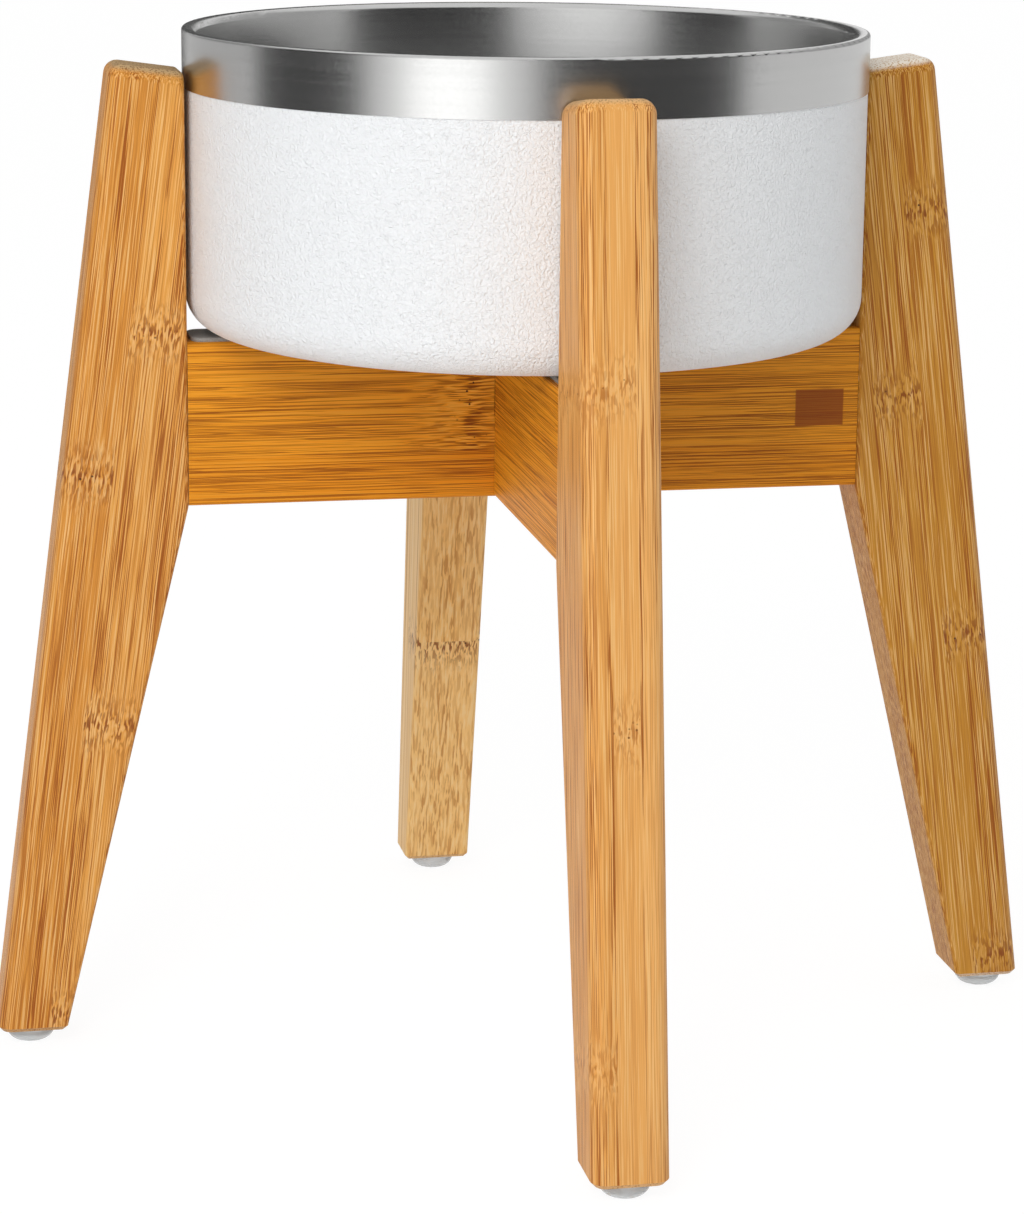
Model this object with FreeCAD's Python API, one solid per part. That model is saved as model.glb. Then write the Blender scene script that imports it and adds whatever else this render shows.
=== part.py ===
import FreeCAD, Part
import math
import os

from FreeCAD import Vector

# Raised stand for a dog bowl: four leaning bamboo legs, two crossing rails and a double-walled steel bowl.
# Millimetres, +Z up, origin on the floor under the middle of the stand.
# Each leg is drawn along +X and turned about Z into its place.

# bowl
bowl_radius = 105.0
bowl_height = 92.3
band_height = 17.5
coat_step = 0.3
steel_sheet = 1.0
rim_width = 4.0
rim_outer_round = 1.0
rim_inner_round = 2.4
liner_flare = 2.6
liner_flare_height = 26.0
liner_flare_round = 150.0
liner_taper = 1.0
liner_corner = 14.0
shell_corner = 11.0
wall_gap = 3.0
base_flange = 12.0
base_plate_lap = 7.0
base_panel_radius = 60.0
base_panel_rise = 1.0
base_ring_inset = 1.0
base_ring_width = 5.5
base_ring_height = 0.8
base_ring_edge = 0.4

# legs
bowl_clearance = 1.0
leg_height = 307.5
leg_thickness = 23.0
leg_top_width = 22.0
leg_foot_width = 21.5
leg_lean = 7.5
leg_outer_round = 4.5
leg_inner_round = 1.6
leg_top_round = 4.0
leg_knee_round = 12.0
leg_bottom_chamfer = 1.4

# rails
rail_drop = 84.5
rail_height = 50.5
rail_thickness = 21.5
rail_round = 1.2
lap_clearance = 0.15

# dowels that pin each rail end to its leg
dowel_diameter = 8.0
dowel_length = 30.0
dowel_chamfer = 0.8
dowel_edge = 13.0
glue_gap = 0.1
dowel_end_gap = 0.5

# soft pads on the rails, under the bowl
pad_thickness = 1.2
pad_inner_end = 44.0
pad_leg_gap = 1.5
pad_side_gap = 0.4
pad_corner = 4.0
pad_edge = 0.5

# clear bumper under each leg
foot_height = 5.2
foot_diameter = 15.0
foot_flat = 7.0
foot_wall = 1.4
foot_bulge = 1.3

leg_turns = {"right": 0.0, "back": 90.0, "left": 180.0, "front": 270.0}
tolerance = 0.02

# heights and radii that follow from the sizes above
leg_inner_radius = bowl_radius + bowl_clearance
leg_top_radius = leg_inner_radius + leg_top_width
leg_run = (leg_height - foot_height) * math.tan(math.radians(leg_lean))
leg_foot_outer = leg_top_radius + leg_run
leg_foot_inner = leg_foot_outer - leg_foot_width
foot_radius = (leg_foot_outer + leg_foot_inner) / 2
rail_top = leg_height - rail_drop
rail_bottom = rail_top - rail_height
rail_middle = rail_bottom + rail_height / 2
pad_top = rail_top + pad_thickness
shell_bottom = pad_top + base_ring_height
rim_top = pad_top + bowl_height
band_bottom = rim_top - band_height
shell_radius = bowl_radius - coat_step
flange_inner = shell_radius - shell_corner - base_flange
liner_floor = shell_bottom + 2 * steel_sheet + wall_gap + base_panel_rise
dowel_heights = (rail_bottom + dowel_edge, rail_top - dowel_edge)


def rounded_outline(corners):
    # corners are (radius from the middle, height, corner round), joined by lines and tangent arcs
    edges = []
    joins = []
    count = len(corners)
    for i, (x, z, rounding) in enumerate(corners):
        here = Vector(x, 0, z)
        before = Vector(corners[i - 1][0], 0, corners[i - 1][1])
        after = Vector(corners[(i + 1) % count][0], 0, corners[(i + 1) % count][1])
        back = (before - here).normalize()
        on = (after - here).normalize()
        if rounding == 0:
            joins.append((here, None, here))
            continue
        half = back.getAngle(on) / 2
        reach = rounding / math.tan(half)
        centre = here + (back + on).normalize() * (rounding / math.sin(half))
        middle = centre + (here - centre).normalize() * rounding
        joins.append((here + back * reach, middle, here + on * reach))
    for i, (start, middle, end) in enumerate(joins):
        if middle is not None:
            edges.append(Part.Arc(start, middle, end).toShape())
        following = joins[(i + 1) % count][0]
        if end.distanceToPoint(following) > tolerance:
            edges.append(Part.LineSegment(end, following).toShape())
    return Part.Wire(Part.__sortEdges__(edges))


def spun(corners):
    return Part.Face(rounded_outline(corners)).revolve(Vector(0, 0, 0), Vector(0, 0, 1), 360)


def turned(shape, angle):
    copy = shape.copy()
    copy.rotate(Vector(0, 0, 0), Vector(0, 0, 1), angle)
    return copy


def leg_inner_at(height):
    if height >= rail_bottom:
        return leg_inner_radius
    share = (rail_bottom - height) / (rail_bottom - foot_height)
    return leg_inner_radius + share * (leg_foot_inner - leg_inner_radius)


def leg_side_edges(solid, inner):
    # the long edges round the two side faces: the inner ones, or the outer and top ones
    picked = []
    for edge in solid.Edges:
        mid = edge.CenterOfMass
        if abs(mid.z - foot_height) < tolerance or abs(abs(mid.y) - leg_thickness / 2) > tolerance:
            continue
        if (mid.x - leg_inner_at(mid.z) < leg_inner_round) == inner:
            picked.append(edge)
    return picked


def leg_blank():
    top_drop = leg_top_width * math.tan(math.radians(leg_lean))
    outline = rounded_outline([
        (leg_foot_outer, foot_height, 0),
        (leg_top_radius, leg_height, leg_top_round),
        (leg_inner_radius, leg_height - top_drop, 0),
        (leg_inner_radius, rail_bottom, leg_knee_round),
        (leg_foot_inner, foot_height, 0),
    ])
    solid = Part.Face(outline).extrude(Vector(0, leg_thickness, 0))
    solid.translate(Vector(0, -leg_thickness / 2, 0))
    solid = solid.makeFillet(leg_outer_round, leg_side_edges(solid, False))
    solid = solid.makeFillet(leg_inner_round, leg_side_edges(solid, True))
    bottom = [edge for edge in solid.Edges if abs(edge.BoundBox.ZMax - foot_height) < tolerance]
    return solid.makeChamfer(leg_bottom_chamfer, bottom)


def dowel_bar(height, diameter, length):
    # lies along the rail, half in the leg and half in the rail
    start = Vector(leg_inner_radius - length / 2, 0, height)
    return Part.makeCylinder(diameter / 2, length, start, Vector(1, 0, 0))


def dowel_hole(height):
    return dowel_bar(height, dowel_diameter + 2 * glue_gap, dowel_length + 2 * dowel_end_gap)


def dowel(height):
    bar = dowel_bar(height, dowel_diameter, dowel_length)
    ends = [edge for edge in bar.Edges if isinstance(edge.Curve, Part.Circle)]
    return bar.makeChamfer(dowel_chamfer, ends)


def leg():
    solid = leg_blank()
    for height in dowel_heights:
        solid = solid.cut(dowel_hole(height))
    return solid


def rail(notch_from):
    # one bar from leg to leg, with half its height cut away where the other one crosses
    length = 2 * leg_inner_radius
    bar = Part.makeBox(length, rail_thickness, rail_height,
                       Vector(-leg_inner_radius, -rail_thickness / 2, rail_bottom))
    long_edges = [edge for edge in bar.Edges if edge.Length > length - tolerance]
    bar = bar.makeFillet(rail_round, long_edges)
    notch_width = rail_thickness + 2 * lap_clearance
    notch = Part.makeBox(notch_width, rail_thickness, rail_height / 2,
                         Vector(-notch_width / 2, -rail_thickness / 2, notch_from))
    bar = bar.cut(notch)
    for height in dowel_heights:
        hole = dowel_hole(height)
        bar = bar.cut(hole).cut(turned(hole, 180))
    return bar


def rail_pad():
    width = rail_thickness - 2 * rail_round - 2 * pad_side_gap
    length = leg_inner_radius - pad_leg_gap - pad_inner_end
    strip = Part.makeBox(length, width, pad_thickness, Vector(pad_inner_end, -width / 2, rail_top))
    corners = [edge for edge in strip.Edges if abs(edge.Length - pad_thickness) < tolerance]
    strip = strip.makeFillet(pad_corner, corners)
    top = [edge for edge in strip.Edges if edge.BoundBox.ZMin > pad_top - tolerance]
    return strip.makeFillet(pad_edge, top)


def bumper_foot():
    # low dome with a flat underside, stuck to the end of the leg
    outer = foot_diameter / 2
    flat = foot_flat / 2
    dome_top = foot_height - foot_wall
    swell = Vector(dome_top, 0, flat - outer).normalize() * foot_bulge
    middle = Vector((outer + flat) / 2, 0, dome_top / 2) + swell
    dome = Part.Arc(Vector(flat, 0, 0), middle, Vector(outer, 0, dome_top))
    path = [Vector(outer, 0, dome_top), Vector(outer, 0, foot_height), Vector(0, 0, foot_height),
            Vector(0, 0, 0), Vector(flat, 0, 0)]
    lines = [Part.LineSegment(a, b).toShape() for a, b in zip(path, path[1:])]
    face = Part.Face(Part.Wire(Part.__sortEdges__([dome.toShape()] + lines)))
    foot = face.revolve(Vector(0, 0, 0), Vector(0, 0, 1), 360)
    foot.translate(Vector(foot_radius, 0, 0))
    return foot


def bowl_liner():
    # inner wall that flares out to the rolled rim, and bare outer band, spun from one sheet
    inside = bowl_radius - rim_width
    throat = inside - liner_flare
    throat_height = rim_top - liner_flare_height
    floor_radius = throat - liner_taper
    return spun([
        (0, liner_floor, 0),
        (floor_radius, liner_floor, liner_corner),
        (throat, throat_height, liner_flare_round),
        (inside, rim_top, rim_inner_round),
        (bowl_radius, rim_top, rim_outer_round),
        (bowl_radius, band_bottom, 0),
        (bowl_radius - steel_sheet, band_bottom, 0),
        (bowl_radius - steel_sheet, rim_top - steel_sheet, 0),
        (inside + steel_sheet, rim_top - steel_sheet, rim_inner_round - steel_sheet),
        (throat + steel_sheet, throat_height, liner_flare_round + steel_sheet),
        (floor_radius + steel_sheet, liner_floor - steel_sheet, liner_corner + steel_sheet),
        (0, liner_floor - steel_sheet, 0),
    ])


def bowl_shell():
    # coated outer wall, joined edge to edge under the bare band, with a flange turned in at the bottom
    inner_corner = shell_corner - steel_sheet
    return spun([
        (shell_radius, band_bottom, 0),
        (shell_radius, shell_bottom, shell_corner),
        (flange_inner, shell_bottom, 0),
        (flange_inner, shell_bottom + steel_sheet, 0),
        (shell_radius - steel_sheet, shell_bottom + steel_sheet, inner_corner),
        (shell_radius - steel_sheet, band_bottom, 0),
    ])


def bowl_base_plate():
    # stamped disc that lies on the flange, with its middle pressed up
    low = shell_bottom + steel_sheet
    high = low + base_panel_rise
    edge = flange_inner + base_plate_lap
    slope = base_panel_radius - base_panel_rise
    return spun([
        (0, high, 0),
        (slope, high, 0),
        (base_panel_radius, low, 0),
        (edge, low, 0),
        (edge, low + steel_sheet, 0),
        (base_panel_radius, low + steel_sheet, 0),
        (slope, high + steel_sheet, 0),
        (0, high + steel_sheet, 0),
    ])


def bowl_base_ring():
    # soft ring glued under the flange, which the bowl stands on
    inner = flange_inner + base_ring_inset
    outer = inner + base_ring_width
    return spun([
        (inner, pad_top, base_ring_edge),
        (outer, pad_top, base_ring_edge),
        (outer, shell_bottom, 0),
        (inner, shell_bottom, 0),
    ])


def build():
    parts = {
        "rail_lower": rail(rail_middle),
        "rail_upper": turned(rail(rail_bottom), 90),
        "bowl_liner": bowl_liner(),
        "bowl_shell": bowl_shell(),
        "bowl_base_plate": bowl_base_plate(),
        "bowl_base_ring": bowl_base_ring(),
    }
    lower_dowel, upper_dowel = (dowel(height) for height in dowel_heights)
    for_each_leg = {
        "leg": leg(),
        "foot": bumper_foot(),
        "rail_pad": rail_pad(),
        "dowel_lower": lower_dowel,
        "dowel_upper": upper_dowel,
    }
    for piece, shape in for_each_leg.items():
        for side, angle in leg_turns.items():
            parts[f"{piece}_{side}"] = turned(shape, angle)
    return parts


os.makedirs("parts", exist_ok=True)
for name, shape in build().items():
    if not shape.isValid() or len(shape.Solids) != 1:
        raise ValueError(f"{name} is not one sound solid")
    shape.exportStep(f"parts/{name}.step")
    print(f"{name}: {shape.Volume / 1000:.2f} cm3")
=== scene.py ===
import math

import bpy
from mathutils import Matrix, Vector


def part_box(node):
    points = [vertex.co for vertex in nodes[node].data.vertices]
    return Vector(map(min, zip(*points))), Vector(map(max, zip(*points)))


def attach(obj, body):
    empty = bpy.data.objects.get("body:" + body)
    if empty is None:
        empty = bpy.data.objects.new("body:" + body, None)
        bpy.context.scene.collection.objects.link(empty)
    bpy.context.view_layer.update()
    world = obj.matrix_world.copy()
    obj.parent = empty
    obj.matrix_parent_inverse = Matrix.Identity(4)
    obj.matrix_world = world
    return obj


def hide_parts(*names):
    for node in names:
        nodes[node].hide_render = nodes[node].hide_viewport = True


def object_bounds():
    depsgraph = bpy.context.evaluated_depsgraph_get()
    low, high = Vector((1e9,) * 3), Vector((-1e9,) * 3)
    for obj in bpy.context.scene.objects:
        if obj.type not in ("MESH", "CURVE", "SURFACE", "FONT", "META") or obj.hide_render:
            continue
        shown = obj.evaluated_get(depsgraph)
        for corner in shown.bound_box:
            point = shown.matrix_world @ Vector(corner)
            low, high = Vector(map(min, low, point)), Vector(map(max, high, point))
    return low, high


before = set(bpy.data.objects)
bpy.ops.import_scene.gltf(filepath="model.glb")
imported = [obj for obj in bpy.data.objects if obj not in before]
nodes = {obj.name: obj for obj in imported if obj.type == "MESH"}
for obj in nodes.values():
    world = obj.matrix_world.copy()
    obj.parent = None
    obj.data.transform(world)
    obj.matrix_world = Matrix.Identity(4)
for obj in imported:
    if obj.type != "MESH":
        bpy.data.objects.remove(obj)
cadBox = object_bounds()
scene = bpy.context.scene
mm = 0.001                                  # metres in a millimetre
noiseSpan = (0.3, 0.7)                      # nearly all of a noise's values lie between these
grainShare = 0.5                            # a grain is about this share of a noise's spacing
legTurn = {"right": 0, "back": 90, "left": 180, "front": 270}      # where each leg stands, degrees about Z
print("frame loaded:", len(nodes), "nodes")


def linear(hexColour):
    # sRGB hex to the linear numbers that shaders take
    shares = [int(hexColour[i:i + 2], 16) / 255 for i in (1, 3, 5)]
    return (*[s / 12.92 if s <= 0.04045 else ((s + 0.055) / 1.055) ** 2.4 for s in shares], 1.0)


def addNode(tree, kind, feeds, out=0, **settings):
    # one node with its settings, its values and its links; gives back the wanted output
    node = tree.nodes.new("ShaderNode" + kind)
    for name, value in settings.items():
        setattr(node, name, value)
    for key, value in feeds.items():
        if isinstance(value, bpy.types.NodeSocket):
            tree.links.new(value, node.inputs[key])
        else:
            node.inputs[key].default_value = value
    return node.outputs[out]


def startMaterial(name, finish):
    material = bpy.data.materials.new(name)
    material.use_nodes = True
    tree = material.node_tree
    shader = tree.nodes["Principled BSDF"]
    for socket, value in finish.items():
        shader.inputs[socket].default_value = value
    return material, tree, shader


def dress(material, *names):
    for name in names:
        for place in nodes[name].material_slots:
            place.material = material


# Laminated bamboo, planed, sanded and clear lacquered: straight dark fibres in glued strips of their own
# tone, wavy dashes and pores at each growth ring, and dots where the fibres are cut across.
# A pair named for a line or an edge is the level of a pattern where it begins and where it is full.
bamboo = {
    "boardLength": 1e6,         # strips run from end to end, mm
    "skin": 0.5,                # the outer face lies this far into the first strip, mm
    "jump": (40, 40, 900),      # how far apart in one noise the strips are cut from, mm
    "fibre": 0.3,               # spacing of the dark fibres, mm
    "stretch": 0.008,           # width of a fibre over its length
    "line": (0.49, 0.57),       # the dark fibres
    "paleLine": (0.46, 0.36),   # the pale ones between them
    "bundle": 2.4,              # spacing of the bundles that fibres gather in, mm
    "bundleEdge": (0.38, 0.60),
    "loose": 0.3,               # strength of the fibres between bundles, and in a smooth layer
    "wave": 3.3,                # spacing of the waves that bend fibres and rings, mm
    "waveStretch": 0.12,        # width of a wave over its length
    "wander": (0.4, 2.2),       # how far fibres stray from straight, plain and at a ring, mm
    "uneven": 9.0,              # how far a ring strays from its height, mm
    "ringEdge": (3.8, 0.6),     # a ring, above and below its height, mm
    "ringShare": 0.9,           # strength of a ring's dark dashes
    # the pale dashes at a ring are partly pale fibre and partly painted sheen
    "ringPaleAndSheenShare": 0.4,       # and of the pale ones between them
    "ringWhole": 0.35,          # strength of the straight fibres at a ring
    "dashReach": 13.0,          # fibres break up into dashes this far above and below a ring, mm
    "dashFull": 1.0,            # and the most this near to it, mm
    "dashFaint": 0.75,          # strength of the dashes beside the ring itself
    "dashWidth": 0.42,          # width of a dash, mm
    "dashShare": 0.6,           # a dash is this share of its noise's spacing
    "dashStretch": 0.2,         # width of a dash over its length
    "dashTwist": 0.4,           # waviness of a dash
    "dashLine": (0.49, 0.58),
    "dashPaleAndSheenLine": (0.47, 0.39),
    "poreSpacing": 3.0,         # spacing of the pores at a ring, mm
    "poreLine": (0.15, 0.08),
    "dotSpacing": 0.75,         # spacing of the fibre dots on cut ends, mm
    "dotLine": (0.5, 0.25),
    "endFacing": (0.5, 0.9),    # how squarely a cut end meets the fibres
    "gloss": (0.42, 0.56),      # roughness of pale and dark fibres
    "groove": 0.06,             # depth of the sanded fibre lines, mm
    "grooveStrength": 0.5,
    "smooth": None,             # number of a layer with hardly any lines
    "patch": None,              # a scorched patch, as on one rail
}


def ringDistance(tree, rings, level, stripIndex, layerIndex):
    # height above or below the nearest growth ring of the point's own strip or layer
    farAway = 1000.0
    nearest = None
    for strip, layer, height in rings:
        off = addNode(tree, "Math", {0: level, 1: height}, operation="SUBTRACT")
        away = addNode(tree, "Math", {0: off}, operation="ABSOLUTE")
        for wanted, index in ((strip, stripIndex), (layer, layerIndex)):
            if wanted is not None:
                same = addNode(tree, "Math", {0: index, 1: float(wanted), 2: 0.5}, operation="COMPARE")
                other = addNode(tree, "MapRange", {0: same, 3: farAway, 4: 0.0})
                away = addNode(tree, "Math", {0: away, 1: other}, operation="ADD")
        if nearest is not None:
            away = addNode(tree, "Math", {0: nearest, 1: away}, operation="MINIMUM")
        nearest = away
    return nearest


def scorchPatch(tree, patch, colour, across, side, along):
    # a plain scorched patch on the near face
    covered = addNode(tree, "Math", {0: side, 1: patch["depth"]}, operation="LESS_THAN")
    for part, middle, size in ((along, patch["along"], patch["length"]),
                               (across, patch["across"], patch["height"])):
        off = addNode(tree, "Math", {0: part, 1: middle}, operation="SUBTRACT")
        away = addNode(tree, "Math", {0: off}, operation="ABSOLUTE")
        within = addNode(tree, "MapRange", {0: away, 1: size / 2, 2: size / 2 - patch["edge"]})
        covered = addNode(tree, "Math", {0: covered, 1: within}, operation="MULTIPLY")
    burnt = addNode(tree, "Mix", {0: patch["share"], 6: colour, 7: linear(patch["colour"])}, 2,
                    data_type="RGBA")
    return addNode(tree, "Mix", {0: covered, 6: colour, 7: burnt}, 2, data_type="RGBA")


def cutEnd(tree, wood, colour, grain, facing, alongGrain):
    # where the fibres are cut across: pale ground with a brown dot for each bundle
    meeting = addNode(tree, "VectorMath", {0: facing, 1: alongGrain}, "Value", operation="DOT_PRODUCT")
    squarely = addNode(tree, "Math", {0: meeting}, operation="ABSOLUTE")
    low, high = wood["endFacing"]
    isEnd = addNode(tree, "MapRange", {0: squarely, 1: low, 2: high}, interpolation_type="SMOOTHSTEP")
    dots = addNode(tree, "TexVoronoi", {"Vector": grain, "Scale": 1 / wood["dotSpacing"]}, "Distance")
    low, high = wood["dotLine"]
    isDot = addNode(tree, "MapRange", {0: dots, 1: low, 2: high}, interpolation_type="SMOOTHSTEP")
    dotted = addNode(tree, "Mix", {0: isDot, 6: linear(wood["endPale"]), 7: linear(wood["endDot"])}, 2,
                     data_type="RGBA")
    return addNode(tree, "Mix", {0: isEnd, 6: colour, 7: dotted}, 2, data_type="RGBA")


def laminatedBamboo(name, board, toGrain, corner):
    # toGrain turns to across the strips, across the layers and along the fibres, from the board's corner
    wood = {**bamboo, **board}
    material, tree, shader = startMaterial(name, {"IOR": 1.5, "Specular IOR Level": wood["sheen"]})
    onPiece = addNode(tree, "TexCoord", {}, "Object")
    facing = onPiece.node.outputs["Normal"]
    shift = -(toGrain @ corner) / mm + Vector((wood["skin"], wood["layers"] / 2 * wood["layer"], 0))
    grain = addNode(tree, "Mapping", {"Vector": onPiece, "Rotation": toGrain.to_euler(),
                                      "Scale": (1 / mm, 1 / mm, 1 / mm), "Location": shift})
    across, side, along = addNode(tree, "SeparateXYZ", {0: grain}).node.outputs

    # each strip has its own tone and its own stretch of fibres
    cellSize = (wood["strip"], wood["layer"], wood["boardLength"])
    strips = addNode(tree, "VectorMath", {0: grain, 1: cellSize}, operation="DIVIDE")
    cell = addNode(tree, "VectorMath", {0: strips}, operation="FLOOR")
    stripIndex, layerIndex = addNode(tree, "SeparateXYZ", {0: cell}).node.outputs[:2]
    dice = addNode(tree, "TexWhiteNoise", {"Vector": cell, "W": wood["seed"]}, "Color",
                   noise_dimensions="4D")
    tone = addNode(tree, "SeparateXYZ", {0: dice}, "X")
    jump = addNode(tree, "VectorMath", {0: dice, 1: wood["jump"]}, operation="MULTIPLY")

    # growth rings: an uneven band across one strip, or one layer, at its height
    slow = addNode(tree, "VectorMath", {0: grain, 1: (1, 1, wood["waveStretch"])}, operation="MULTIPLY")
    waves = addNode(tree, "TexNoise", {"Vector": slow, "Scale": 1 / wood["wave"], "Detail": 1.0}, "Color")
    bend = addNode(tree, "VectorMath", {0: waves, 1: (0.5, 0.5, 0.5)}, operation="SUBTRACT")
    rise = addNode(tree, "SeparateXYZ", {0: bend}, "Z")
    level = addNode(tree, "Math", {0: rise, 1: wood["uneven"], 2: along}, operation="MULTIPLY_ADD")
    nearest = ringDistance(tree, wood["rings"], level, stripIndex, layerIndex)
    low, high = wood["ringEdge"]
    inRing = addNode(tree, "MapRange", {0: nearest, 1: low, 2: high}, interpolation_type="SMOOTHSTEP")
    nearRing = addNode(tree, "MapRange", {0: nearest, 1: wood["dashReach"], 2: wood["dashFull"]},
                       interpolation_type="SMOOTHSTEP")

    # fibres waver at a ring and run straight elsewhere
    straight, wavy = wood["wander"]
    drift = addNode(tree, "MapRange", {0: nearRing, 3: straight, 4: wavy})
    sway = addNode(tree, "VectorMath", {0: bend, "Scale": drift}, operation="SCALE")
    moved = addNode(tree, "VectorMath", {0: grain, 1: jump}, operation="ADD")
    swayed = addNode(tree, "VectorMath", {0: moved, 1: sway}, operation="ADD")
    strand = addNode(tree, "VectorMath", {0: swayed, 1: (1, 1, wood["stretch"])}, operation="MULTIPLY")
    fibres = addNode(tree, "TexNoise", {"Vector": strand, "Scale": 1 / wood["fibre"],
                                        "Detail": 2.0, "Roughness": 0.55})
    bundles = addNode(tree, "TexNoise", {"Vector": strand, "Scale": 1 / wood["bundle"], "Detail": 1.0})
    low, high = wood["bundleEdge"]
    dense = addNode(tree, "MapRange", {0: bundles, 1: low, 2: high, 3: wood["loose"], 4: 1.0})
    if wood["smooth"] is not None:
        isSmooth = addNode(tree, "Math", {0: layerIndex, 1: float(wood["smooth"]), 2: 0.5},
                           operation="COMPARE")
        lined = addNode(tree, "MapRange", {0: isSmooth, 3: 1.0, 4: wood["loose"]})
        dense = addNode(tree, "Math", {0: dense, 1: lined}, operation="MULTIPLY")
    whole = addNode(tree, "MapRange", {0: nearRing, 3: 1.0, 4: wood["ringWhole"]})
    dense = addNode(tree, "Math", {0: dense, 1: whole}, operation="MULTIPLY")
    low, high = wood["line"]
    line = addNode(tree, "MapRange", {0: fibres, 1: low, 2: high}, interpolation_type="SMOOTHSTEP")
    dark = addNode(tree, "Math", {0: line, 1: dense}, operation="MULTIPLY")
    low, high = wood["paleLine"]
    pale = addNode(tree, "MapRange", {0: fibres, 1: low, 2: high}, interpolation_type="SMOOTHSTEP")

    # dashes and pores of the rings; the pale dashes are partly pale fibre and partly painted sheen
    broken = addNode(tree, "VectorMath", {0: swayed, 1: (1, 1, wood["dashStretch"])}, operation="MULTIPLY")
    dashes = addNode(tree, "TexNoise", {"Vector": broken, "Scale": wood["dashShare"] / wood["dashWidth"],
                                        "Detail": 1.0, "Distortion": wood["dashTwist"]})
    low, high = wood["dashLine"]
    isDash = addNode(tree, "MapRange", {0: dashes, 1: low, 2: high}, interpolation_type="SMOOTHSTEP")
    low, high = wood["dashPaleAndSheenLine"]
    isPaleAndSheenDash = addNode(tree, "MapRange", {0: dashes, 1: low, 2: high}, interpolation_type="SMOOTHSTEP")
    faint = addNode(tree, "Math", {0: nearRing, 1: wood["dashFaint"]}, operation="MULTIPLY")
    strength = addNode(tree, "Math", {0: faint, 1: inRing}, operation="MAXIMUM")
    dash = addNode(tree, "Math", {0: isDash, 1: strength}, operation="MULTIPLY")
    paleAndSheenDash = addNode(tree, "Math", {0: isPaleAndSheenDash, 1: strength}, operation="MULTIPLY")
    pores = addNode(tree, "TexVoronoi", {"Vector": grain, "Scale": 1 / wood["poreSpacing"]}, "Distance")
    low, high = wood["poreLine"]
    isPore = addNode(tree, "MapRange", {0: pores, 1: low, 2: high}, interpolation_type="SMOOTHSTEP")
    pore = addNode(tree, "Math", {0: isPore, 1: inRing}, operation="MULTIPLY")

    # colour, from the strip's ground tone up to the cut ends
    low, high = wood["ground"]
    colour = addNode(tree, "Mix", {0: tone, 6: linear(low), 7: linear(high)}, 2, data_type="RGBA")
    for mask, share, paint in ((pale, wood["paleShare"], wood["pale"]),
                               (dark, wood["darkShare"], wood["dark"]),
                               (paleAndSheenDash, wood["ringPaleAndSheenShare"], wood["ringPaleAndSheen"]),
                               (dash, wood["ringShare"], wood["ring"]),
                               (pore, 1.0, wood["pore"])):
        part = addNode(tree, "Math", {0: mask, 1: share}, operation="MULTIPLY")
        colour = addNode(tree, "Mix", {0: part, 6: colour, 7: linear(paint)}, 2, data_type="RGBA")
    if wood["patch"] is not None:
        colour = scorchPatch(tree, wood["patch"], colour, across, side, along)
    colour = cutEnd(tree, wood, colour, grain, facing, toGrain.row[2])
    tree.links.new(colour, shader.inputs["Base Color"])

    low, high = wood["gloss"]
    gloss = addNode(tree, "MapRange", {0: fibres, 1: noiseSpan[0], 2: noiseSpan[1], 3: low, 4: high})
    tree.links.new(gloss, shader.inputs["Roughness"])
    sunk = addNode(tree, "Math", {0: dark, 1: dash}, operation="ADD")
    height = addNode(tree, "Math", {0: 1.0, 1: sunk}, operation="SUBTRACT")
    bump = addNode(tree, "Bump", {"Height": height, "Strength": wood["grooveStrength"],
                                  "Distance": wood["groove"] * mm})
    tree.links.new(bump, shader.inputs["Normal"])
    return material


legBoard = {
    "lean": 7.5,                # slope of the outer edge, degrees: the fibres run along it
    "strip": 15.5,              # width of a glued strip, mm
    "layer": 7.7,               # thickness of a layer, mm
    "layers": 3, "sheen": 0.3,
    "pale": "#F2C684", "dark": "#9C500A", "ring": "#8A440C", "pore": "#4E2B0C",
    "paleShare": 0.7, "darkShare": 0.95, "ringPaleAndSheen": "#F6CE90",
}
# tones, and the growth rings as (strip from the outer edge, layer, height from the foot in mm)
legBoards = {
    "left": {
        "seed": 1.0, "ground": ("#DA9238", "#E4A048"), "endPale": "#C9A776", "endDot": "#8A6234",
        "rings": [(1, None, 226), (0, None, 180), (1, None, 103), (1, None, 8)],
    },
    "front": {
        "seed": 2.0, "ground": ("#E6A250", "#EEB064"), "endPale": "#E4B67C", "endDot": "#B08248",
        "ring": "#AC6420", "ringShare": 0.65, "ringPaleAndSheenShare": 0.25, "pore": "#8A5420",
        "rings": [(None, 2, 34), (None, 1, 130), (None, 2, 224), (None, 1, 226)], "smooth": 1,
    },
    # right leg: the darker ground and pale dashes are partly its own board tone and partly painted shade
    # for the bowl's shadow; the near-white cut end is a painted highlight
    "right": {
        "seed": 3.0, "ground": ("#C88A2A", "#D49838"), "endPale": "#FFF4E4", "endDot": "#D2AE80",
        "ringPaleAndSheen": "#E4AE60",
        "rings": [(1, None, 200), (0, None, 258), (0, None, 120), (0, None, 9)],
    },
    # back leg: the lightened ground, the pale fibres and the fainter dark fibres are painted light,
    # brightening the face that the bowl shades
    "back": {
        "seed": 4.0, "ground": ("#FAC676", "#FDD088"), "endPale": "#E4B67C", "endDot": "#B08248",
        "fibre": 0.8, "stretch": 0.0045, "dark": "#BC7830", "darkShare": 0.7,
        "pale": "#FFDCA0", "ringPaleAndSheen": "#FFDCA0",
        "rings": [(2, None, 60), (1, None, 90)],
    },
}
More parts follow.
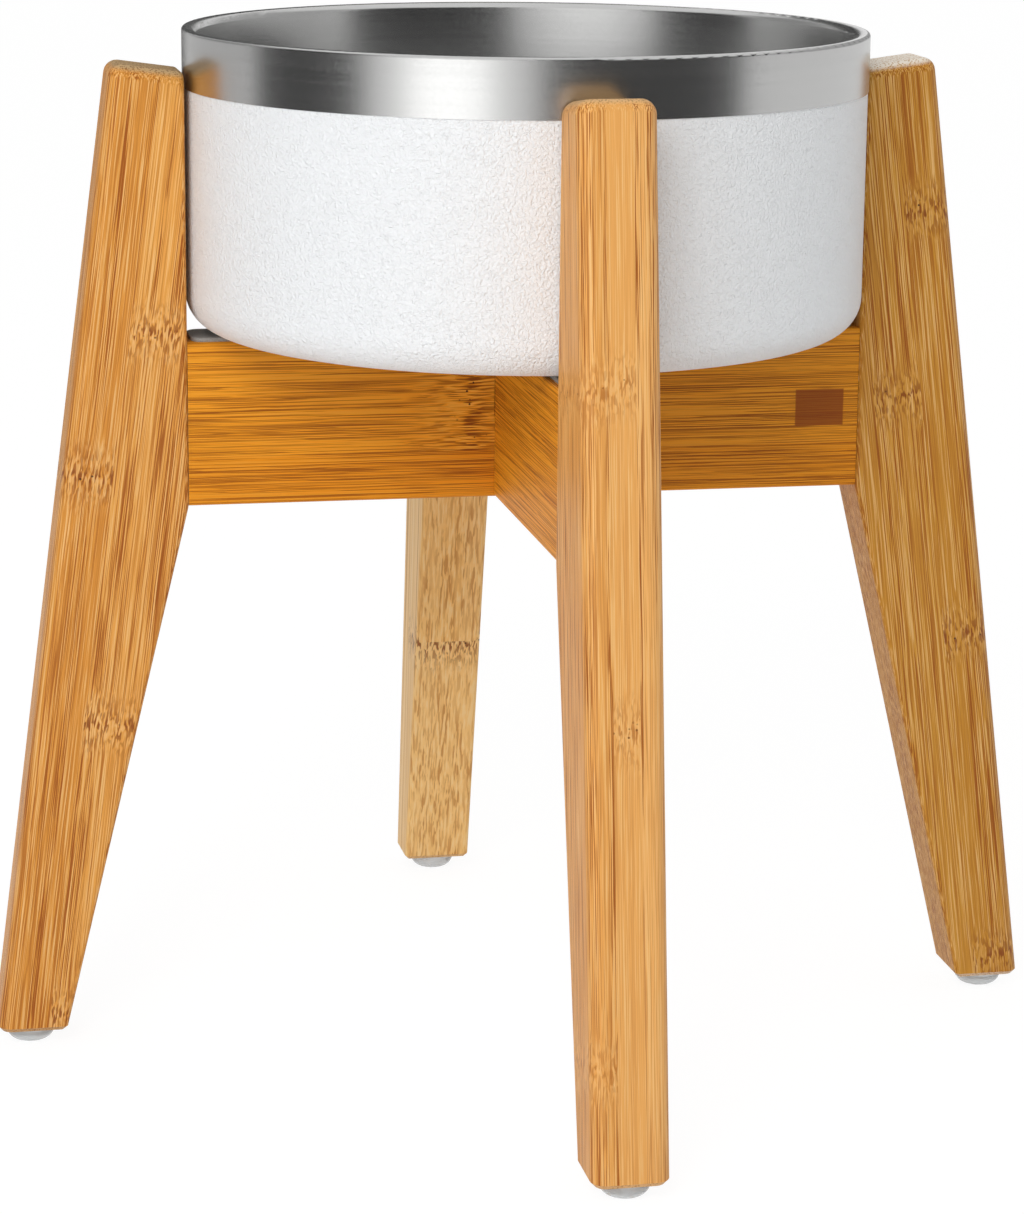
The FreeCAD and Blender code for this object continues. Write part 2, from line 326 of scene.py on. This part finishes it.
for side, choice in legBoards.items():
    turn, lean = math.radians(legTurn[side]), math.radians(legBoard["lean"])
    out = Vector((math.cos(turn), math.sin(turn), 0))
    up = Vector((0, 0, 1))
    inward = -(out * math.cos(lean) + up * math.sin(lean))
    sideways = Vector((out.y, -out.x, 0))
    upLeg = up * math.cos(lean) - out * math.sin(lean)
    low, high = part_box("leg_" + side)
    reach = max(abs(low.dot(out)), abs(high.dot(out)))
    outerFoot = out * reach + up * low.z                    # the outer edge where the leg ends
    toGrain = Matrix((inward, sideways, upLeg))
    dress(laminatedBamboo(f"laminatedBambooLeg.{side}", {**legBoard, **choice}, toGrain, outerFoot),
          "leg_" + side)

railBoard = {
    "strip": 36.0, "layer": 7.2, "layers": 3, "sheen": 0.2,
    "fibre": 0.26, "stretch": 0.004, "line": (0.5, 0.55), "loose": 0.6, "dashReach": 24.0,
    "ringEdge": (8.0, 0.6), "dashWidth": 0.32, "dashStretch": 0.06,
    "ground": ("#E69016", "#F09E20"), "endPale": "#D9B586", "endDot": "#8A5A24",
    "pale": "#EAA436", "dark": "#8E4806", "ring": "#7E3E06", "pore": "#4A260A",
    # the rails' bright pale ring dashes are partly a painted sheen for the shine at their rings
    "paleShare": 0.5, "darkShare": 0.86, "ringPaleAndSheen": "#FFC050", "ringPaleAndSheenShare": 0.6,
}
railBoards = {
    "rail_lower": {
        "seed": 5.0, "along": Vector((1, 0, 0)), "side": Vector((0, 1, 0)), "rings": [(0, None, 88)],
        "patch": {"along": 199.5, "across": 25.5, "length": 16, "height": 12, "depth": 0.4, "edge": 0.4,
                  "colour": "#92460F", "share": 0.85},
    },
    "rail_upper": {
        "seed": 6.0, "along": Vector((0, 1, 0)), "side": Vector((-1, 0, 0)), "rings": [(1, None, 150)],
    },
}
for name, choice in railBoards.items():
    low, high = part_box(name)
    along, down = choice["along"], Vector((0, 0, -1))
    corner = Vector((0, 0, high.z)) + along * low.dot(along)
    toGrain = Matrix((down, choice["side"], along))
    dress(laminatedBamboo(f"laminatedBamboo.{name}", {**railBoard, **choice}, toGrain, corner), name)
print("bamboo boards dressed")

# Stainless steel, spun and satin finished: fine rings round the axis that smear a reflection up and down,
# and a fine grit that sparkles where light turns to dark.
satinSteel = {
    "colour": "#C3C3C2", "smear": 0.5,
    "roughness": (0.22, 0.27), "roughSpan": (0.7, 1.3),     # over this span of the two noises' sum
    "grit": 0.45, "ringSpacing": 0.8,                       # mm
    "relief": 0.08, "depth": 0.05,                          # strength and depth of the grit, mm
}


def makeSatinSteel():
    material, tree, shader = startMaterial("satinStainlessSteel", {
        "Base Color": linear(satinSteel["colour"]), "Metallic": 1.0, "Anisotropic": satinSteel["smear"]})
    onPiece = addNode(tree, "TexCoord", {}, "Object")
    grit = addNode(tree, "TexNoise", {"Vector": onPiece, "Detail": 2.0,
                                      "Scale": grainShare / (satinSteel["grit"] * mm)})
    flat = addNode(tree, "VectorMath", {0: onPiece, 1: (1, 1, 0)}, operation="MULTIPLY")
    radius = addNode(tree, "VectorMath", {0: flat}, "Value", operation="LENGTH")
    height = addNode(tree, "SeparateXYZ", {0: onPiece}, "Z")
    turned = addNode(tree, "CombineXYZ", {0: radius, 1: height})
    rings = addNode(tree, "TexNoise", {"Vector": turned, "Detail": 2.0,
                                       "Scale": grainShare / (satinSteel["ringSpacing"] * mm)})
    mixed = addNode(tree, "Math", {0: grit, 1: rings}, operation="ADD")
    spanFrom, spanTo = satinSteel["roughSpan"]
    low, high = satinSteel["roughness"]
    rough = addNode(tree, "MapRange", {0: mixed, 1: spanFrom, 2: spanTo, 3: low, 4: high})
    tree.links.new(rough, shader.inputs["Roughness"])
    bump = addNode(tree, "Bump", {"Height": grit, "Strength": satinSteel["relief"],
                                  "Distance": satinSteel["depth"] * mm})
    tree.links.new(bump, shader.inputs["Normal"])
    tangent = addNode(tree, "Tangent", {}, direction_type="RADIAL", axis="Z")
    tree.links.new(tangent, shader.inputs["Tangent"])
    return material


# Powder coat, sprayed and baked: a leathery orange peel that shows where light grazes it.
powderCoat = {
    "colour": "#F2F4F6", "roughness": (0.45, 0.36),
    "peel": 0.82, "twist": 0.6,                             # spacing of the dimples, mm, and their waviness
    "depth": 0.66,                                          # deeper than the real coat so that it shows, mm
}


def makePowderCoat():
    material, tree, shader = startMaterial("whitePowderCoat", {
        "Base Color": linear(powderCoat["colour"]), "IOR": 1.5})
    onPiece = addNode(tree, "TexCoord", {}, "Object")
    peel = addNode(tree, "TexNoise", {"Vector": onPiece, "Scale": 1 / (powderCoat["peel"] * mm),
                                      "Detail": 1.0, "Roughness": 0.4, "Distortion": powderCoat["twist"]})
    low, high = powderCoat["roughness"]
    rough = addNode(tree, "MapRange", {0: peel, 1: noiseSpan[0], 2: noiseSpan[1], 3: low, 4: high})
    tree.links.new(rough, shader.inputs["Roughness"])
    bump = addNode(tree, "Bump", {"Height": peel, "Strength": 1.0, "Distance": powderCoat["depth"] * mm})
    tree.links.new(bump, shader.inputs["Normal"])
    return material


def makeSpeckled(name, look):
    # a fine noise, or foam cells, that break up the colour, the gloss and, with a relief, the surface
    material, tree, shader = startMaterial(name, look["finish"])
    onPiece = addNode(tree, "TexCoord", {}, "Object")
    if "cell" in look:
        speck = addNode(tree, "TexVoronoi", {"Vector": onPiece, "Scale": 1 / (look["cell"] * mm)},
                        "Distance")
        spanFrom, spanTo = 0.0, 1.0
    else:
        speck = addNode(tree, "TexNoise", {"Vector": onPiece, "Scale": grainShare / (look["grain"] * mm),
                                           "Detail": look["detail"]})
        spanFrom, spanTo = noiseSpan
    if "colours" in look:
        low, high = look["colours"]
        colour = addNode(tree, "Mix", {0: speck, 6: linear(low), 7: linear(high)}, 2, data_type="RGBA")
        tree.links.new(colour, shader.inputs["Base Color"])
    low, high = look["roughness"]
    rough = addNode(tree, "MapRange", {0: speck, 1: spanFrom, 2: spanTo, 3: low, 4: high})
    tree.links.new(rough, shader.inputs["Roughness"])
    if "relief" in look:
        bump = addNode(tree, "Bump", {"Height": speck, "Strength": look["relief"],
                                      "Distance": look["depth"] * mm})
        tree.links.new(bump, shader.inputs["Normal"])
    return material


# Polyurethane, cast as a clear dome: half see-through, with a faint cold tint and a bright rim.
clearBumper = {
    "finish": {"Base Color": linear("#F4F8FA"), "IOR": 1.49, "Transmission Weight": 0.45},
    "grain": 1.5, "detail": 2.0, "roughness": (0.08, 0.2),
}
# Silicone rubber, moulded: matt, with a fine powdery grain.
baseRing = {
    "finish": {"IOR": 1.41}, "colours": ("#2B2B2D", "#3C3C3E"),
    "grain": 0.6, "detail": 3.0, "roughness": (0.62, 0.78), "relief": 0.3, "depth": 0.05,
}
# Beech, turned to a dowel: pink-tan with small darker flecks.
dowelPin = {
    "finish": {"IOR": 1.5}, "colours": ("#C79C6E", "#DDBB92"),
    "grain": 0.8, "detail": 3.0, "roughness": (0.55, 0.7),
}
# Closed-cell foam, die cut from sheet: dull grey with a fine open skin.
railPad = {
    "finish": {"IOR": 1.45}, "colours": ("#8A8884", "#A09E9A"),
    "cell": 0.5, "roughness": (0.95, 0.8), "relief": 0.5, "depth": 0.15,
}
dress(makeSatinSteel(), "bowl_liner", "bowl_base_plate")
dress(makePowderCoat(), "bowl_shell")
dress(makeSpeckled("mouldedSilicone", baseRing), "bowl_base_ring")
dress(makeSpeckled("clearPolyurethane", clearBumper), *["foot_" + side for side in legTurn])
dress(makeSpeckled("turnedBeech", dowelPin),
      *[f"dowel_{level}_{side}" for level in ("lower", "upper") for side in legTurn])


def addMesh(name, points, faces, material):
    mesh = bpy.data.meshes.new(name)
    mesh.from_pydata(points, [], faces)
    mesh.materials.append(material)
    made = bpy.data.objects.new(name, mesh)
    scene.collection.objects.link(made)
    return made


# Foam pads, stuck to the rails: flat and full, with crowned edges and a groove under the bowl's ring.
padStrip = {
    "corner": 4.0, "leastCorner": 0.3,                      # rounding in plan, outside and further in, mm
    "crown": 0.45, "crownAngles": (0, 30, 60, 90),          # rounding of the upper edge, mm and degrees
    "topRows": (1.5, 3, 4.5, 6, 7.5),                       # rows of points on the top, from the edge, mm
    "ringWidth": 5.5, "press": 0.1, "fade": 2.0,            # the bowl's ring, its groove and the slope, mm
    "longSteps": 44, "wideSteps": 8, "cornerSteps": 6,
    "sharpAngle": 50,
}


def padOutline(halfLong, halfWide, corner):
    # round the strip from the end of its first corner, with as many points for every inset
    points = []
    quarter = [math.radians(90 * i / padStrip["cornerSteps"]) for i in range(padStrip["cornerSteps"])]
    straight = (padStrip["wideSteps"], padStrip["longSteps"]) * 2
    for turn in range(4):
        c, s = math.cos(math.radians(90 * turn)), math.sin(math.radians(90 * turn))
        u, v = (halfLong, halfWide) if turn % 2 == 0 else (halfWide, halfLong)
        steps = straight[turn]
        run = [(u, -v + corner + (2 * v - 2 * corner) * i / steps) for i in range(steps)]
        run += [(u - corner + corner * math.cos(a), v - corner + corner * math.sin(a)) for a in quarter]
        points += [(x * c - y * s, x * s + y * c) for x, y in run]
    return points


def makePad(side, foam):
    low, high = (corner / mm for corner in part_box("rail_pad_right"))
    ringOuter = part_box("bowl_base_ring")[1].x / mm
    ringInner = ringOuter - padStrip["ringWidth"]
    middle, half, thick = (low + high) / 2, (high - low) / 2, high.z - low.z
    crown = padStrip["crown"]
    arc = [math.radians(a) for a in padStrip["crownAngles"]]
    profile = [(0, 0)] + [(crown * (1 - math.cos(a)), thick - crown + crown * math.sin(a)) for a in arc]
    profile += [(inset, thick) for inset in padStrip["topRows"]]
    points, faces = [], []
    for inset, height in profile:
        corner = max(padStrip["corner"] - inset, padStrip["leastCorner"])
        for x, y in padOutline(half.x - inset, half.y - inset, corner):
            radius = math.hypot(x + middle.x, y)
            past = max(radius - ringOuter, ringInner - radius, 0) / padStrip["fade"]
            groove = padStrip["press"] * max(1 - past, 0) ** 2 * (height / thick)
            points.append(Vector((x + middle.x, y, low.z + height - groove)) * mm)
    count = len(points) // len(profile)
    for row in range(0, len(points) - count, count):
        for i in range(count):
            j = (i + 1) % count
            faces.append((row + i, row + j, row + count + j, row + count + i))
    faces.append(tuple(reversed(range(count))))
    faces.append(tuple(range(len(points) - count, len(points))))
    pad = addMesh("pad_" + side, points, faces, foam)
    pad.data.transform(Matrix.Rotation(math.radians(legTurn[side]), 4, "Z"))
    pad.data.shade_smooth()
    pad.data.set_sharp_from_angle(angle=math.radians(padStrip["sharpAngle"]))
    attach(pad, "stand")
    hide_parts("rail_pad_" + side)


dieCutFoam = makeSpeckled("dieCutFoam", railPad)
for side in legTurn:
    makePad(side, dieCutFoam)
print("bowl and small pieces dressed")

# studio: white floor, soft lamps, and a ring of light and dark panels that the steel mirrors
studio = {
    "floorHalf": 12.0, "floorShare": 0.85, "floorGlow": 1.08, "ambient": 0.58,
    "lamps": [
        # name, azimuth and elevation in degrees, distance, width and height in metres, watts
        ("keyLamp", -22, 34, 1.6, 0.5, 0.5, 5.6),
        ("stripLamp", -40, 12, 1.0, 0.5, 0.9, 2.1),
    ],
    "panelRadius": 0.95, "panelHeight": 1.1, "panelSteps": 24,
    "panelFade": (0.25, 0.42, 0.6),                         # dimmed between these heights, to this share
    "panels": [
        # name, from and to azimuth in degrees, brightness where 1 is white
        ("backFlag", -195, -160, 0.1),
        ("leftPanel", -155, -112, 0.65),
        ("leftFlag", -106, -62, 0.06),
        ("softbox", -48, -22, 2.1),
        ("rightFlag", -7, 60, 0.07),
        ("rightPanel", 68, 150, 0.9),
    ],
}
scene.view_settings.view_transform = "Standard"


def startBare(name):
    material = bpy.data.materials.new(name)
    material.use_nodes = True
    tree = material.node_tree
    tree.nodes.remove(tree.nodes["Principled BSDF"])
    return material, tree, tree.nodes["Material Output"].inputs["Surface"]


def seenRay(tree):
    # 1 for what is seen, straight, mirrored or through a clear piece, and 0 for the light on a surface
    path = addNode(tree, "LightPath", {}).node.outputs
    seen = path["Is Camera Ray"]
    for kind in ("Is Glossy Ray", "Is Transmission Ray"):
        seen = addNode(tree, "Math", {0: seen, 1: path[kind]}, operation="MAXIMUM")
    return seen


def makeFloor():
    material, tree, surface = startBare("paperFloor")
    diffuse = addNode(tree, "BsdfDiffuse", {"Color": linear("#F2F2F2")})
    glow = addNode(tree, "Emission", {"Color": linear("#FFFFFF"), "Strength": studio["floorGlow"]})
    clear = addNode(tree, "BsdfTransparent", {})
    share = addNode(tree, "Math", {0: seenRay(tree), 1: studio["floorShare"]}, operation="MULTIPLY")
    lit = addNode(tree, "MixShader", {0: share, 1: diffuse, 2: glow})
    below = addNode(tree, "NewGeometry", {}, "Backfacing")
    tree.links.new(addNode(tree, "MixShader", {0: below, 1: lit, 2: clear}), surface)
    half = studio["floorHalf"]
    corners = [(-half, -half, 0), (half, -half, 0), (half, half, 0), (-half, half, 0)]
    floor = addMesh("floor", corners, [(0, 1, 2, 3)], material)


def makeWorld():
    world = bpy.data.worlds.new("studioWhite")
    world.use_nodes = True
    scene.world = world
    tree = world.node_tree
    background = tree.nodes["Background"]
    strength = addNode(tree, "MapRange", {0: seenRay(tree), 3: studio["ambient"], 4: 1.0})
    tree.links.new(strength, background.inputs["Strength"])
    background.inputs["Color"].default_value = linear("#FFFFFF")


def hangLamp(name, azimuth, elevation, distance, width, height, watts):
    middle = (cadBox[0] + cadBox[1]) / 2
    a, e = math.radians(azimuth), math.radians(elevation)
    way = Vector((math.sin(a) * math.cos(e), -math.cos(a) * math.cos(e), math.sin(e)))
    data = bpy.data.lights.new(name, "AREA")
    data.shape = "RECTANGLE"
    data.size, data.size_y, data.energy = width, height, watts
    lamp = bpy.data.objects.new(name, data)
    lamp.location = middle + way * distance
    lamp.rotation_euler = way.to_track_quat("Z", "Y").to_euler()
    lamp.visible_camera = False
    lamp.visible_glossy = False
    scene.collection.objects.link(lamp)


def hangPanel(name, begin, end, brightness):
    # a curved card that only mirrored rays meet
    radius, steps = studio["panelRadius"], studio["panelSteps"]
    points, faces = [], []
    for step in range(steps + 1):
        a = math.radians(begin + (end - begin) * step / steps)
        points += [(radius * math.sin(a), -radius * math.cos(a), z) for z in (0.0, studio["panelHeight"])]
        if step:
            faces.append((2 * step - 2, 2 * step, 2 * step + 1, 2 * step - 1))
    material, tree, surface = startBare(name)
    onPanel = addNode(tree, "TexCoord", {}, "Object")
    height = addNode(tree, "SeparateXYZ", {0: onPanel}, "Z")
    full, dim, share = studio["panelFade"]
    strength = addNode(tree, "MapRange", {0: height, 1: full, 2: dim, 3: brightness, 4: brightness * share})
    tree.links.new(addNode(tree, "Emission", {"Color": linear("#FFFFFF"), "Strength": strength}), surface)
    panel = addMesh(name, points, faces, material)
    panel.visible_camera = False
    panel.visible_diffuse = False
    panel.visible_transmission = False
    panel.visible_shadow = False


makeFloor()
makeWorld()
for setup in studio["lamps"]:
    hangLamp(*setup)
for setup in studio["panels"]:
    hangPanel(*setup)
print("studio lit")

# the photograph's viewpoint
viewpoint = {
    "place": (-0.2260, -1.1057, 0.4063),                    # metres
    "heading": 11.425, "down": 13.559, "roll": 0.567,       # degrees
    "focal": 108.48, "sensor": 36.0,                        # mm, for the picture's long side
}


def setCamera():
    heading, down, roll = (math.radians(viewpoint[k]) for k in ("heading", "down", "roll"))
    ahead = Vector((math.sin(heading) * math.cos(down), math.cos(heading) * math.cos(down),
                    -math.sin(down)))
    right = Vector((math.cos(heading), -math.sin(heading), 0))
    tilted = right * math.cos(roll) + right.cross(ahead) * math.sin(roll)
    data = bpy.data.cameras.new("camera")
    data.lens, data.sensor_width = viewpoint["focal"], viewpoint["sensor"]
    camera = bpy.data.objects.new("camera", data)
    scene.collection.objects.link(camera)
    turn = Matrix((tilted, tilted.cross(ahead), -ahead)).transposed()
    camera.matrix_world = Matrix.Translation(viewpoint["place"]) @ turn.to_4x4()
    scene.camera = camera


setCamera()
print("camera set")
